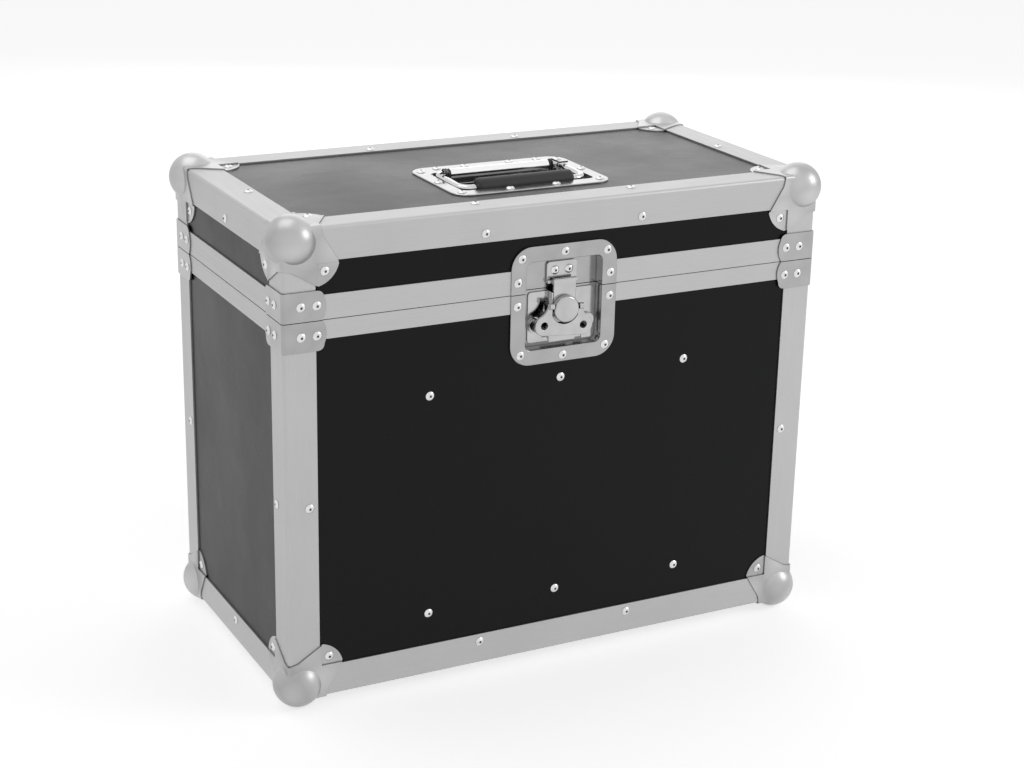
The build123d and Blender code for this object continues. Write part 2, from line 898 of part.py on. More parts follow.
# Latch base on the dish floor: plate, bearing, hook guides, wing rests and eyelets
base_width, base_height = base_plate_size
guide_near = hook_width / 2 + guide_gap
latch_side = Plane(origin=latch_plane.origin, x_dir=(0, 1, 0), z_dir=(1, 0, 0))
with BuildPart() as latch_base:
    with BuildSketch(latch_plane.offset(-dish_floor)):
        with Locations((0, guide_half_height - base_height / 2)):
            RectangleRounded(base_width, base_height, 3.0)
    extrude(amount=base_plate_wall)
    with BuildSketch(latch_plane.offset(-base_front)):
        Circle(bearing_radius)
    extrude(amount=base_front - bearing_front)
    with BuildSketch(latch_plane.offset(-base_front)):
        for side in (-1, 1):
            with Locations((side * (guide_near + guide_wall / 2), 0)):
                Rectangle(guide_wall, 2 * guide_half_height)
    extrude(amount=base_front - guide_front)
    for low_x, high_x in rest_spans:
        with BuildSketch(latch_side.offset(low_x)):
            Polygon(
                (rest_front, -rest_high),
                (rest_front, -rest_low),
                (base_front, -rest_back_low),
                (base_front, -rest_high),
                align=None,
            )
        extrude(amount=high_x - low_x)
    with BuildSketch(latch_plane.offset(-base_front)):
        with Locations((-eyelet_x, -eyelet_below_cam), (eyelet_x, -eyelet_below_cam)):
            Circle(eyelet_radius)
    extrude(amount=eyelet_height)
    with BuildSketch(latch_plane.offset(-dish_floor)):
        with Locations((-eyelet_x, -eyelet_below_cam), (eyelet_x, -eyelet_below_cam)):
            Circle(eyelet_bore)
    extrude(amount=base_plate_wall + eyelet_height, mode=Mode.SUBTRACT)
    with BuildSketch(latch_plane.offset(-base_front)):
        Circle(shaft_radius + shaft_gap)
    extrude(amount=base_front - bearing_front, mode=Mode.SUBTRACT)
finish("latch_base", latch_base)

# Hook plate: slides between the guides, its slot around the cam's eccentric
hook_top = cam_below_seam + hook_lip_low
hook_height = hook_top + hook_below_cam
with BuildPart() as latch_hook_plate:
    with BuildSketch(latch_plane.offset(-hook_front - hook_wall)):
        with Locations((0, hook_top - hook_height / 2)):
            Rectangle(hook_width, hook_height)
        fillet(vertices().group_by(Axis.Y)[0], 2.5)
        with Locations((0, -eccentric)):
            RectangleRounded(*slot_size, 2.0, mode=Mode.SUBTRACT)
    extrude(amount=hook_wall)
    with BuildSketch(latch_plane.offset(-hook_lip_back)):
        with Locations((0, hook_top)):
            Rectangle(
                hook_width,
                hook_lip_high - hook_lip_low,
                align=(Align.CENTER, Align.MIN),
            )
    extrude(amount=hook_lip_back - hook_lip_front)
    lip_top = latch_hook_plate.edges().filter_by(Axis.X).group_by(Axis.Z)[-1]
    fillet(lip_top, 1.4)
finish("latch_hook_plate", latch_hook_plate)

# Cam: a plain drum in front, the eccentric behind it and a shaft in the bearing
hook_back = hook_front + hook_wall
eccentric_back = hook_back + 0.4
shaft_front = hook_back + 0.2
shaft_back = base_front - 0.1
pin_origin = cam_plane.from_local_coords((0, pin_above_cam, -pin_depth))
pin_plane = Plane(origin=pin_origin, x_dir=(0, 1, 0), z_dir=cam_plane.x_dir)
with BuildPart() as latch_cam:
    with BuildSketch(cam_plane.offset(-drum_back)):
        Circle(drum_radius)
    extrude(amount=drum_back - drum_front)
    fillet(latch_cam.faces().sort_by(Axis.Y)[0].edges(), drum_round)
    with BuildSketch(pin_plane):
        Circle(pin_radius + pin_gap)
    extrude(amount=2 * drum_radius, both=True, mode=Mode.SUBTRACT)
    with BuildSketch(cam_plane.offset(-eccentric_back)):
        with Locations((0, -eccentric)):
            Circle(shaft_radius)
    extrude(amount=eccentric_back - drum_back)
    with BuildSketch(cam_plane.offset(-shaft_back)):
        Circle(shaft_radius)
    extrude(amount=shaft_back - shaft_front)
finish("latch_cam", latch_cam)

# Wing: a folding thumb turn with two ears, on knuckles beside the drum
join = math.radians(ear_join_angle)
ear_join = (
    ear_reach + ear_radius * math.cos(join),
    ear_radius * math.sin(join) - ear_below,
)
ear_low = -ear_below - ear_radius
cut_start = math.sqrt(wing_cut_radius**2 - neck_inner**2)
wing_right = [
    (neck_inner, neck_top),
    (neck_outer, neck_top),
    neck_curve,
    ear_join,
    (ear_reach + ear_radius, -ear_below),
    (ear_reach, ear_low),
]
wing_left = [(-u, v) for u, v in wing_right]
with BuildPart() as latch_wing:
    with BuildSketch(cam_plane.offset(-wing_front - wing_wall)):
        with BuildLine():
            for outline in (wing_right, wing_left):
                Line(outline[0], outline[1])
                ThreePointArc(outline[1], outline[2], outline[3])
                ThreePointArc(outline[3], outline[4], outline[5])
                Line(outline[0], (outline[0][0], -cut_start))
            Line(wing_right[5], wing_left[5])
            ThreePointArc(
                (-neck_inner, -cut_start), (0, -wing_cut_radius), (neck_inner, -cut_start)
            )
        make_face()
        with Locations((-ear_reach, -ear_below), (ear_reach, -ear_below)):
            Circle(ear_hole_radius, mode=Mode.SUBTRACT)
    extrude(amount=wing_wall)
    fillet(latch_wing.faces().sort_by(Axis.Y)[0].edges(), 0.6)
    for side in (-1, 1):
        with BuildSketch(pin_plane.offset(side * neck_inner)):
            Circle(knuckle_radius)
        extrude(amount=side * (neck_outer - neck_inner - 0.1))
    with BuildSketch(pin_plane):
        Circle(pin_radius + pin_gap)
    extrude(amount=2 * neck_outer, both=True, mode=Mode.SUBTRACT)
finish("latch_wing", latch_wing)

with BuildPart() as latch_wing_pin:
    with BuildSketch(pin_plane):
        Circle(pin_radius)
    extrude(amount=neck_outer - 0.1, both=True)
finish("latch_wing_pin", latch_wing_pin)

# Keeper: the plate on the lid's half of the dish, its lip behind the hook's
with BuildPart() as latch_keeper:
    with BuildSketch(latch_plane.offset(-dish_floor)):
        with Locations((0, cam_below_seam + keeper_low)):
            Rectangle(
                keeper_width,
                keeper_high - keeper_low,
                align=(Align.CENTER, Align.MIN),
            )
        fillet(vertices().group_by(Axis.Y)[-1], 3.0)
    extrude(amount=keeper_wall)
    with BuildSketch(latch_plane.offset(-dish_floor)):
        with Locations((0, cam_below_seam + keeper_low)):
            Rectangle(
                keeper_width,
                keeper_lip_height,
                align=(Align.CENTER, Align.MIN),
            )
    extrude(amount=dish_floor - keeper_lip_front)
    cut_holes(keeper_holes, latch_keeper)
finish("latch_keeper", latch_keeper)

# Hinges: two leaves on a pin, with alternate knuckles
hinge_centre_y = half_depth + hinge_axis_out
knuckle_width = hinge_width / knuckle_count


def hinge_leaf(side, own_knuckles):
    """A leaf above or below the hinge's axis, centred on X = 0."""
    reach = leaf_lid if side > 0 else leaf_body
    with BuildPart() as leaf:
        for index in range(knuckle_count):
            low_x = -hinge_width / 2 + index * knuckle_width
            own = index in own_knuckles
            start = knuckle_side_gap if own else leaf_knuckle_gap
            low_z, high_z = sorted((seam_z + side * start, seam_z + side * reach))
            block(
                (low_x, half_depth, low_z),
                (low_x + knuckle_width, half_depth + leaf_wall, high_z),
            )
        for index in own_knuckles:
            low_x = -hinge_width / 2 + index * knuckle_width
            barrel = Plane(
                origin=(low_x + knuckle_side_gap / 2, hinge_centre_y, seam_z),
                z_dir=(1, 0, 0),
            )
            with BuildSketch(barrel):
                Circle(knuckle_barrel)
            extrude(amount=knuckle_width - knuckle_side_gap)
        for index in range(knuckle_count):
            if index not in own_knuckles:
                low_x = -hinge_width / 2 + index * knuckle_width
                clear = leaf_knuckle_gap
                block(
                    (low_x - knuckle_side_gap / 2, half_depth - 1, seam_z - clear),
                    (
                        low_x + knuckle_width + knuckle_side_gap / 2,
                        hinge_centre_y + knuckle_barrel + 1,
                        seam_z + clear,
                    ),
                    Mode.SUBTRACT,
                )
        bore = Plane(origin=(0, hinge_centre_y, seam_z), z_dir=(1, 0, 0))
        with BuildSketch(bore):
            Circle(hinge_pin_radius + hinge_pin_gap)
        extrude(amount=hinge_width, both=True, mode=Mode.SUBTRACT)
    return leaf.part


def hinge_leaves(name, blank, holes):
    """Both hinges' leaves of one kind, drilled for their rivets."""
    with BuildPart() as leaves:
        for hinge_x in (-hinge_spacing, hinge_spacing):
            with Locations(Location((hinge_x, 0, 0))):
                add(blank)
        cut_holes(holes, leaves)
    finish(name, leaves)


hinge_leaves("hinge_body_leaves", hinge_leaf(-1, (0, 2, 4)), body_hinge_holes)
hinge_leaves("hinge_lid_leaves", hinge_leaf(1, (1, 3)), lid_hinge_holes)
with BuildPart() as hinge_pins:
    for hinge_x in (-hinge_spacing, hinge_spacing):
        with BuildSketch(
            Plane(origin=(hinge_x, hinge_centre_y, seam_z), z_dir=(1, 0, 0))
        ):
            Circle(hinge_pin_radius)
        extrude(amount=hinge_width / 2, both=True)
finish("hinge_pins", hinge_pins)

# Handle plate: a pressed flange and pan, with the sleeve along the pan's rear lip
recess_size = (2 * recess_half_width, recess_back - recess_front)
recess_middle = (handle_x, (recess_front + recess_back) / 2)
sleeve_axis = Plane(origin=(handle_x, handle_axis_y, top_z), z_dir=(1, 0, 0))
with BuildPart() as recess:
    with BuildSketch(top_plane.offset(-recess_depth)):
        with Locations(recess_middle):
            RectangleRounded(*recess_size, recess_round)
    extrude(amount=recess_depth + 1)
    fillet(recess.faces().sort_by(Axis.Z)[0].edges(), recess_floor_round)
with BuildPart() as handle_plate:
    with BuildSketch(top_plane.offset(-handle_plate_wall)):
        with Locations((handle_x, handle_plate_y)):
            RectangleRounded(*handle_plate_size, handle_plate_radius)
    extrude(amount=handle_plate_wall)
    chamfer(handle_plate.faces().sort_by(Axis.Z)[-1].edges(), 0.6)
    with BuildSketch(top_plane.offset(-recess_depth - recess_wall)):
        with Locations(recess_middle):
            RectangleRounded(
                recess_size[0] + 2 * recess_wall,
                recess_size[1] + 2 * recess_wall,
                recess_round + recess_wall,
            )
    extrude(amount=recess_depth + recess_wall)
    add(recess.part, mode=Mode.SUBTRACT)
    block(
        (handle_x - sleeve_half_length, handle_axis_y, top_z - handle_plate_wall),
        (handle_x + sleeve_half_length, recess_back + recess_wall / 2, top_z),
    )
    with BuildSketch(sleeve_axis):
        Circle(sleeve_radius)
    extrude(amount=sleeve_half_length, both=True)
    with BuildSketch(sleeve_axis):
        Circle(bail_radius + bail_gap)
    extrude(amount=sleeve_half_length, both=True, mode=Mode.SUBTRACT)
    cut_holes(handle_holes, handle_plate)
finish("handle_plate", handle_plate)

# Bail, grip and springs are drawn flat about the sleeve's axis, then set in place
bail_tilt = math.asin(bail_drop / bail_reach)
bail_place = Plane(
    origin=(handle_x, handle_axis_y, top_z),
    x_dir=(1, 0, 0),
    z_dir=(0, -math.sin(bail_tilt), math.cos(bail_tilt)),
).location
arm, reach = bail_half_width, -bail_reach
rear, front = bail_rear_bend, bail_front_bend
with BuildPart() as bail_blank:
    with BuildLine():
        Line((bail_stub_from, 0), (arm - rear, 0))
        TangentArc((arm - rear, 0), (arm, -rear), tangent=(1, 0))
        Line((arm, -rear), (arm, reach + front))
        TangentArc((arm, reach + front), (arm - front, reach), tangent=(0, -1))
        Line((arm - front, reach), (front - arm, reach))
        TangentArc((front - arm, reach), (-arm, reach + front), tangent=(-1, 0))
        Line((-arm, reach + front), (-arm, -rear))
        TangentArc((-arm, -rear), (rear - arm, 0), tangent=(0, 1))
        Line((rear - arm, 0), (-bail_stub_from, 0))
    with BuildSketch(Plane(origin=(bail_stub_from, 0, 0), z_dir=(1, 0, 0))):
        Circle(bail_radius)
    sweep()
with BuildPart() as handle_bail:
    with Locations(bail_place):
        add(bail_blank.part)
finish("handle_bail", handle_bail)

grip_axis = Plane(origin=(0, reach, 0), z_dir=(1, 0, 0))
with BuildPart() as grip_blank:
    with BuildSketch(grip_axis):
        Circle(grip_radius)
    extrude(amount=grip_half_length, both=True)
    end_faces = grip_blank.faces().filter_by(Axis.X)
    fillet(end_faces.edges(), grip_round)
    with BuildSketch(grip_axis):
        Circle(bail_radius + 0.05)
    extrude(amount=grip_half_length, both=True, mode=Mode.SUBTRACT)
with BuildPart() as handle_grip:
    with Locations(bail_place):
        add(grip_blank.part)
finish("handle_grip", handle_grip)

def coil_point(angle):
    """A point of the spring's coil, turned from its top towards the front."""
    return Vector(
        spring_from + spring_pitch * angle / (2 * math.pi),
        -spring_mean_radius * math.sin(angle),
        spring_mean_radius * math.cos(angle),
    )


def coil_heading(angle):
    """The coil's direction at a point."""
    return Vector(
        spring_pitch / (2 * math.pi),
        -spring_mean_radius * math.cos(angle),
        -spring_mean_radius * math.sin(angle),
    ).normalized()


def two_arcs(start_angle, end_angle):
    """A pair of arcs that follow the coil between two of its points."""
    start, end = coil_point(start_angle), coil_point(end_angle)
    start_heading, end_heading = coil_heading(start_angle), coil_heading(end_angle)
    chord = end - start
    total = start_heading + end_heading
    bend = 2 * (1 - start_heading.dot(end_heading))
    along = chord.dot(total)
    reach_out = (math.sqrt(along**2 + bend * chord.dot(chord)) - along) / bend
    middle = (start + end + (start_heading - end_heading) * reach_out) * 0.5
    first = TangentArc(start, middle, tangent=start_heading)
    return first, TangentArc(middle, end, tangent=first % 1)


half_turns = 2 * spring_turns
spring_end = coil_point(half_turns * math.pi)
leg_heading = coil_heading(half_turns * math.pi)
leg_corner = spring_end + leg_heading * spring_leg
hook_round = 2 * spring_wire_radius
with BuildPart() as spring_blank:
    with BuildLine():
        for index in range(half_turns):
            start_angle = index * math.pi
            middle_angle = start_angle + math.pi / 2
            two_arcs(start_angle, middle_angle)
            two_arcs(middle_angle, start_angle + math.pi)
        Line(spring_end, leg_corner)
        leg_bend = TangentArc(
            leg_corner,
            leg_corner + leg_heading * hook_round + Vector(hook_round, 0, 0),
            tangent=leg_heading,
        )
        Line(leg_bend @ 1, leg_bend @ 1 + leg_bend % 1 * (spring_leg_end - spring_end.X))
    with BuildSketch(Plane(origin=coil_point(0), z_dir=coil_heading(0))):
        Circle(spring_wire_radius)
    sweep()
with BuildPart() as handle_springs:
    with Locations(bail_place):
        add(spring_blank.part)
        add(spring_blank.part.mirror(Plane.YZ))
finish("handle_springs", handle_springs)

# The least gap between the coil's turns, measured on points half a turn or more apart
steps = 48
coil_points = [coil_point(2 * math.pi * n / steps) for n in range(spring_turns * steps + 1)]
least = min(
    (coil_points[first] - coil_points[second]).length
    for first in range(len(coil_points))
    for second in range(first + steps // 2, len(coil_points))
)
print("least gap in the springs", round(least - 2 * spring_wire_radius, 3), "mm")

# Rivets, in the case's main groups
body_rivets = body_frame_holes + channel_holes + body_latch_holes + body_hinge_holes
lid_rivets = lid_frame_holes + lid_latch_holes + keeper_holes
lid_rivets += lid_hinge_holes + handle_holes
make_rivets("body_rivets", body_rivets)
make_rivets("body_corner_rivets", body_corner_holes)
make_rivets("lid_rivets", lid_rivets)
make_rivets("lid_corner_rivets", lid_corner_holes)
print(len(pieces), "pieces")
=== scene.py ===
# %% [markdown]
# The object is a hinged equipment case: black laminated panels in an aluminium
# frame, steel ball corners, a twist latch in a pressed dish and a sprung handle
# in the lid. Its solids come from the imported CAD model, which is loaded first as
# a fixed frame. Nothing is scaled or moved by eye, so every finish and every new
# piece sits where the real one does.

# %% Load the imported model
import math

import bmesh
import bpy
import numpy as np
from mathutils import Matrix, Vector


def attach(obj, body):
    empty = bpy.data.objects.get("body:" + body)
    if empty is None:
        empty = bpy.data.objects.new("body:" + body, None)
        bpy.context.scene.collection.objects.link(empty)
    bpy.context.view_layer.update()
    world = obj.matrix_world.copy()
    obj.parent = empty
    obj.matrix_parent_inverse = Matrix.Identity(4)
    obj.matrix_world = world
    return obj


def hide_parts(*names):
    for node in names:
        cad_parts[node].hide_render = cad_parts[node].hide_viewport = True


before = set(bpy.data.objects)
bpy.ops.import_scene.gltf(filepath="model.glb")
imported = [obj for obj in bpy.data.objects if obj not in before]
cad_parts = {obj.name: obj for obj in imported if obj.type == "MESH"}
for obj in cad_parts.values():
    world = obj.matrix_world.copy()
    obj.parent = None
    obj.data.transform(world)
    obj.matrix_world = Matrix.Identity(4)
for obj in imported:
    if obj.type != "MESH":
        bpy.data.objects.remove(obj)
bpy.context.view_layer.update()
scene = bpy.context.scene
scene.view_settings.view_transform = "Standard"

# %% [markdown]
# The camera decides which way the picture can be compared with the photograph.
# It could be placed by hand, but a fit to the case's corners in the photograph
# gives one answer: its place, the two angles of its line of sight and a slight
# roll. Three unit vectors make the rotation: the one that points back from the
# object, and the picture's right and up, turned by the roll.

# %% Camera
camera_place = Vector((-0.8440, -1.6654, 0.8776))
azimuth, elevation, roll = (math.radians(a) for a in (-27.455, 19.111, 1.196))
back = Vector(
    (
        math.sin(azimuth) * math.cos(elevation),
        -math.cos(azimuth) * math.cos(elevation),
        math.sin(elevation),
    )
)
level_right = Vector((0, 0, 1)).cross(back).normalized()
level_up = back.cross(level_right)
right = math.cos(roll) * level_right + math.sin(roll) * level_up
up = math.cos(roll) * level_up - math.sin(roll) * level_right
turn = Matrix((right, up, back)).transposed().to_4x4()
camera_data = bpy.data.cameras.new("camera")
camera_data.sensor_width = 36.0
camera_data.lens = 71.51
camera = bpy.data.objects.new("camera", camera_data)
camera.matrix_world = Matrix.Translation(camera_place) @ turn
scene.collection.objects.link(camera)
scene.camera = camera
print("camera at", tuple(round(c, 3) for c in camera.location))

# %% [markdown]
# The world, the floor and every finish are trees of nodes. A node could be made,
# filled in and joined in several lines each time. One helper does all three, so a
# tree reads from top to bottom. Light Path tells what kind of ray asks, and a
# second helper sums up the kinds that look at a surface rather than light it. A
# third maps the usual span of a value to the range that a socket needs.


# %% Helpers for node trees
def node(tree, kind, links=None, **values):
    """A new node, its inputs set by name or joined to other nodes' outputs."""
    made = tree.nodes.new(kind)
    for name, value in values.items():
        setattr(made, name, value)
    for name, value in (links or {}).items():
        socket = made.inputs[name]
        if isinstance(value, bpy.types.NodeSocket):
            tree.links.new(value, socket)
        else:
            socket.default_value = value
    return made


def seen_ray(tree):
    """1 for rays of the camera, of gloss and of glass, and 0 for those that light."""
    path = node(tree, "ShaderNodeLightPath")
    total = path.outputs["Is Camera Ray"]
    for ray in ("Is Glossy Ray", "Is Transmission Ray"):
        total = node(
            tree, "ShaderNodeMath", {0: total, 1: path.outputs[ray]}, operation="MAXIMUM"
        ).outputs[0]
    return total


def spread(tree, value, low, high, start=0.3, end=0.7):
    """The value, mapped in a straight line from start..end to low..high."""
    links = {"Value": value, "From Min": start, "From Max": end, "To Min": low, "To Max": high}
    return node(tree, "ShaderNodeMapRange", links).outputs["Result"]


print("node helpers are ready")

# %% [markdown]
# A product picture on white needs a background that stays white and a light that
# comes from everywhere. One white world would do for both, but it would light the
# case flatly. So the world answers two kinds of ray. Those that look at it see
# plain white, also in a mirror, which gives the glossy black panels their tone:
# they mirror little of it from the front and more at a shallow angle. Those that
# light the case find a dimmer world, brighter at the back and fading overhead.

# %% World
front_light, back_light, overhead_share = 0.6, 0.9, 0.35
world = bpy.data.worlds.new("studio")
world.use_nodes = True
scene.world = world
tree = world.node_tree
tree.nodes.clear()
direction = node(tree, "ShaderNodeTexCoord").outputs["Generated"]
parts = node(tree, "ShaderNodeSeparateXYZ", {"Vector": direction})
front_to_back = spread(tree, parts.outputs["Y"], front_light, back_light, start=-0.9, end=0.7)
overhead = spread(tree, parts.outputs["Z"], 1.0, overhead_share, start=0.38, end=0.85)
strength = node(
    tree, "ShaderNodeMath", {0: front_to_back, 1: overhead}, operation="MULTIPLY"
)
white = (1, 1, 1, 1)
lights = node(
    tree, "ShaderNodeBackground", {"Color": white, "Strength": strength.outputs[0]}
)
shown = node(tree, "ShaderNodeBackground", {"Color": white, "Strength": 1.0})
mixed = node(
    tree, "ShaderNodeMixShader", {0: seen_ray(tree), 1: lights.outputs[0], 2: shown.outputs[0]}
)
node(tree, "ShaderNodeOutputWorld", {"Surface": mixed.outputs[0]})
print("world lights from", front_light, "at the front to", back_light, "at the back")

# %% [markdown]
# The world alone leaves metal dull, because nothing in it has an edge. Three
# square lamps add soft highlights: one high up, one behind the case, whose light
# runs along the lid, and one at the right for the front. Spot lamps would give
# harder glints and black shadows, and a white studio has neither.

# %% Lamps
lamp_aim = Vector((0, 0, 0.2))
lamp_table = {
    "lamp_high": {"place": (-0.6, 0.5, 2.6), "size": 1.8, "watts": 9.0},
    "lamp_back": {"place": (1.15, 2.2, 1.25), "size": 2.0, "watts": 6.5},
    "lamp_right": {"place": (2.2, -1.4, 1.6), "size": 1.2, "watts": 14.0},
}
for name, soft in lamp_table.items():
    data = bpy.data.lights.new(name, "AREA")
    data.shape = "SQUARE"
    data.size = soft["size"]
    data.energy = soft["watts"]
    lamp = bpy.data.objects.new(name, data)
    lamp.location = soft["place"]
    aim = lamp_aim - Vector(soft["place"])
    lamp.rotation_euler = aim.to_track_quat("-Z", "Y").to_euler()
    scene.collection.objects.link(lamp)
print(len(lamp_table), "lamps, in all", sum(s["watts"] for s in lamp_table.values()), "W")

# %% [markdown]
# The floor is one large sheet. A grid with a smooth rise at its far edge would
# also do, but one this large runs out of the picture in nearly the white of the
# world. It is pale paper, which takes a shadow as paper does. Rays that look at
# it, straight or in a mirror, find a little light of its own on top, so it shows
# nearly white while that shadow stays and no more light falls on the case.

# %% Floor
floor_half = 14.0
paper_tone = 0.7
paper_glow = 0.6
corners = [(-floor_half, -floor_half), (floor_half, -floor_half)]
corners += [(floor_half, floor_half), (-floor_half, floor_half)]
floor_mesh = bpy.data.meshes.new("floor")
floor_mesh.from_pydata([(x, y, 0.0) for x, y in corners], [], [(0, 1, 2, 3)])
floor = bpy.data.objects.new("floor", floor_mesh)
scene.collection.objects.link(floor)
paper = bpy.data.materials.new("paper")
paper.use_nodes = True
tree = paper.node_tree
tree.nodes.clear()
sheet = node(tree, "ShaderNodeBsdfDiffuse", {"Color": (paper_tone,) * 3 + (1,)})
own = node(tree, "ShaderNodeMath", {0: seen_ray(tree), 1: paper_glow}, operation="MULTIPLY")
glow = node(tree, "ShaderNodeEmission", {"Strength": own.outputs[0]})
both = node(tree, "ShaderNodeAddShader", {0: sheet.outputs[0], 1: glow.outputs[0]})
node(tree, "ShaderNodeOutputMaterial", {"Surface": both.outputs[0]})
floor_mesh.materials.append(paper)
print("floor", 2 * floor_half, "m wide, tone", paper_tone)

# %% [markdown]
# Every finish of the case is the same kind of tree: a principled shader, whose
# colour, shine and bump vary with noises in real metres. The noises could come
# from pictures, but a picture needs the surface unwrapped, while a noise read by
# Object coordinates has the right scale on every piece and no edges.


# %% Helpers for finishes
def material(name, colour, metallic, roughness):
    """A principled material, its tree and its shader node."""
    made = bpy.data.materials.new(name)
    made.use_nodes = True
    shader = made.node_tree.nodes["Principled BSDF"]
    shader.inputs["Base Color"].default_value = (*colour, 1)
    shader.inputs["Metallic"].default_value = metallic
    shader.inputs["Roughness"].default_value = roughness
    return made, made.node_tree, shader


def place_noise(tree, scale, detail=3.0, stretch=(1, 1, 1)):
    """A noise in metres of the object, drawn out along an axis by a small stretch."""
    place = node(tree, "ShaderNodeTexCoord").outputs["Object"]
    drawn = node(tree, "ShaderNodeMapping", {"Vector": place, "Scale": stretch})
    links = {"Vector": drawn.outputs[0], "Scale": scale, "Detail": detail}
    return node(tree, "ShaderNodeTexNoise", links).outputs["Fac"]


def uneven_shine(tree, shader, value, low, high):
    """Roughness that follows a value between two limits."""
    tree.links.new(spread(tree, value, low, high), shader.inputs["Roughness"])


def bump(tree, shader, height, distance, under=None):
    """A bump of this height in metres on the shader, on top of another bump."""
    links = {"Height": height, "Distance": distance, "Strength": 1.0}
    if under is not None:
        links["Normal"] = under
    made = node(tree, "ShaderNodeBump", links)
    tree.links.new(made.outputs[0], shader.inputs["Normal"])
    return made.outputs[0]


def grey(tone):
    """A neutral colour of one tone."""
    return (tone, tone, tone)


print("finish helpers are ready")

# %% [markdown]
# Metal is painted darker where two pieces meet, as painted shade: under a
# rivet's head, in the seam, along the edge of a plate. That could be painted by
# hand. An ambient occlusion node finds such places by itself, from how much of
# the space within about two millimetres is open, and its answer darkens the
# metal's own colour there.

# %% Painted shade in crevices
crevice_shade_depth = 0.0022
crevice_shade_share = 0.3


def painted_crevice_shade(tree, shader, colour):
    """The colour, times a share that falls to its least where the space is closed, as painted
    shade.
    """
    nearness = node(
        tree, "ShaderNodeAmbientOcclusion", {"Distance": crevice_shade_depth}, samples=8
    )
    share = spread(tree, nearness.outputs["AO"], crevice_shade_share, 1.0, start=0.2, end=0.85)
    scaled = node(
        tree, "ShaderNodeVectorMath", {0: colour, "Scale": share}, operation="SCALE"
    )
    tree.links.new(scaled.outputs["Vector"], shader.inputs["Base Color"])


print("crevices within", crevice_shade_depth * 1000, "mm")

# %% [markdown]
# The panels are plywood with a thin black laminate: nearly black in itself, with
# a fine pressed grain that makes its shine soft. Two noises are used: a fine one
# for the grain's bump, and a broad one that makes the shine and the flatness a
# little uneven, as pressing and handling do. The tone seen is mostly what the
# laminate mirrors, so its index, which sets how much that is, was chosen by the
# tones of the three sides that the picture shows.

# %% Laminate
laminate_index = 1.25
sheet_scale, sheet_wave = 9.0, 0.0012
grain_scale, grain_height = 900.0, 0.00006


def laminate(name, colour, roughness):
    """Black pressed laminate of one colour, with a roughness that is a little uneven."""
    made, tree, shader = material(name, colour, 0.0, roughness)
    shader.inputs["IOR"].default_value = laminate_index
    broad = place_noise(tree, sheet_scale)
    uneven_shine(tree, shader, broad, roughness - 0.05, roughness + 0.07)
    grain = place_noise(tree, grain_scale, detail=2.0)
    wave = bump(tree, shader, broad, sheet_wave)
    bump(tree, shader, grain, grain_height, wave)
    return made


black_laminate = laminate("black_laminate", (0.0042, 0.0044, 0.0043), 0.27)
divider_laminate = laminate("divider_laminate", (0.012, 0.012, 0.0125), 0.4)
print("laminates:", black_laminate.name, divider_laminate.name)

# %% [markdown]
# The angles and closing profiles are pressed through a die, so they carry fine
# lines along their length and a few shallow ribs. A line that follows the length
# needs to know the direction, so there is one material for each axis. The ribs
# are a sine of the sum of the two other coordinates: on each leg of an angle one
# of these stays still, so the ribs run on round the corner without a seam.

# %% Aluminium
rib_pitch = 0.0031
rib_height = 0.000014
line_scale, line_height = 1400.0, 0.000012
line_draw = 0.012
shade_scale = 14.0


def ribs_across(tree, along):
    """The sine of the sum of the two coordinates across the profile's length."""
    across = [0.0 if axis == along else 1.0 for axis in range(3)]
    place = node(tree, "ShaderNodeTexCoord").outputs["Object"]
    total = node(
        tree, "ShaderNodeVectorMath", {0: place, 1: across}, operation="DOT_PRODUCT"
    ).outputs["Value"]
    turns = 2 * math.pi / rib_pitch
    phase = node(tree, "ShaderNodeMath", {0: total, 1: turns}, operation="MULTIPLY")
    return node(tree, "ShaderNodeMath", {0: phase.outputs[0]}, operation="SINE").outputs[0]


def extruded(name, along):
    """Satin extruded aluminium with its lines along one axis: 0, 1 or 2."""
    low_tone, high_tone = 0.47, 0.53
    made, tree, shader = material(name, grey(high_tone), 1.0, 0.48)
    stretch = [line_draw if axis == along else 1.0 for axis in range(3)]
    lines = place_noise(tree, line_scale, 2.0, stretch)
    uneven_shine(tree, shader, lines, 0.42, 0.54)
    shade = node(tree, "ShaderNodeValToRGB", {"Fac": place_noise(tree, shade_scale)})
    shade.color_ramp.elements[0].color = (*grey(low_tone), 1)
    shade.color_ramp.elements[1].color = (*grey(high_tone), 1)
    # Painted shade: the colour is darkened where the space around it is closed.
    painted_crevice_shade(tree, shader, shade.outputs["Color"])
    ribbed = bump(tree, shader, ribs_across(tree, along), rib_height)
    bump(tree, shader, lines, line_height, ribbed)
    return made


aluminium = [extruded(f"aluminium_{axis}", i) for i, axis in enumerate("xyz")]
print([m.name for m in aluminium])

# %% [markdown]
# Dishes, corners, hinges and the latch are pressed steel with a zinc coat. The
# coat is greyer than aluminium and faintly clouded. A cell pattern times a soft
# noise gives that clouding, and the noise changes the shine as well. Its scale is
# the number of cells in a metre: 36 to 90 for plates and latch, where a cloud is
# one to three centimetres wide, and 260 for the rivets, where it is a few
# millimetres. On the handle's plate the rolled sleeve carries a painted highlight:
# its tone is set brighter than the flat around it, from a height just above the lid.


# %% Coated steel
lid_top = 0.4448
# Painted highlight: above this height the sleeve's tone is set brighter.
sleeve_highlight_from = lid_top + 0.0004
sleeve_highlight_tone = 0.9


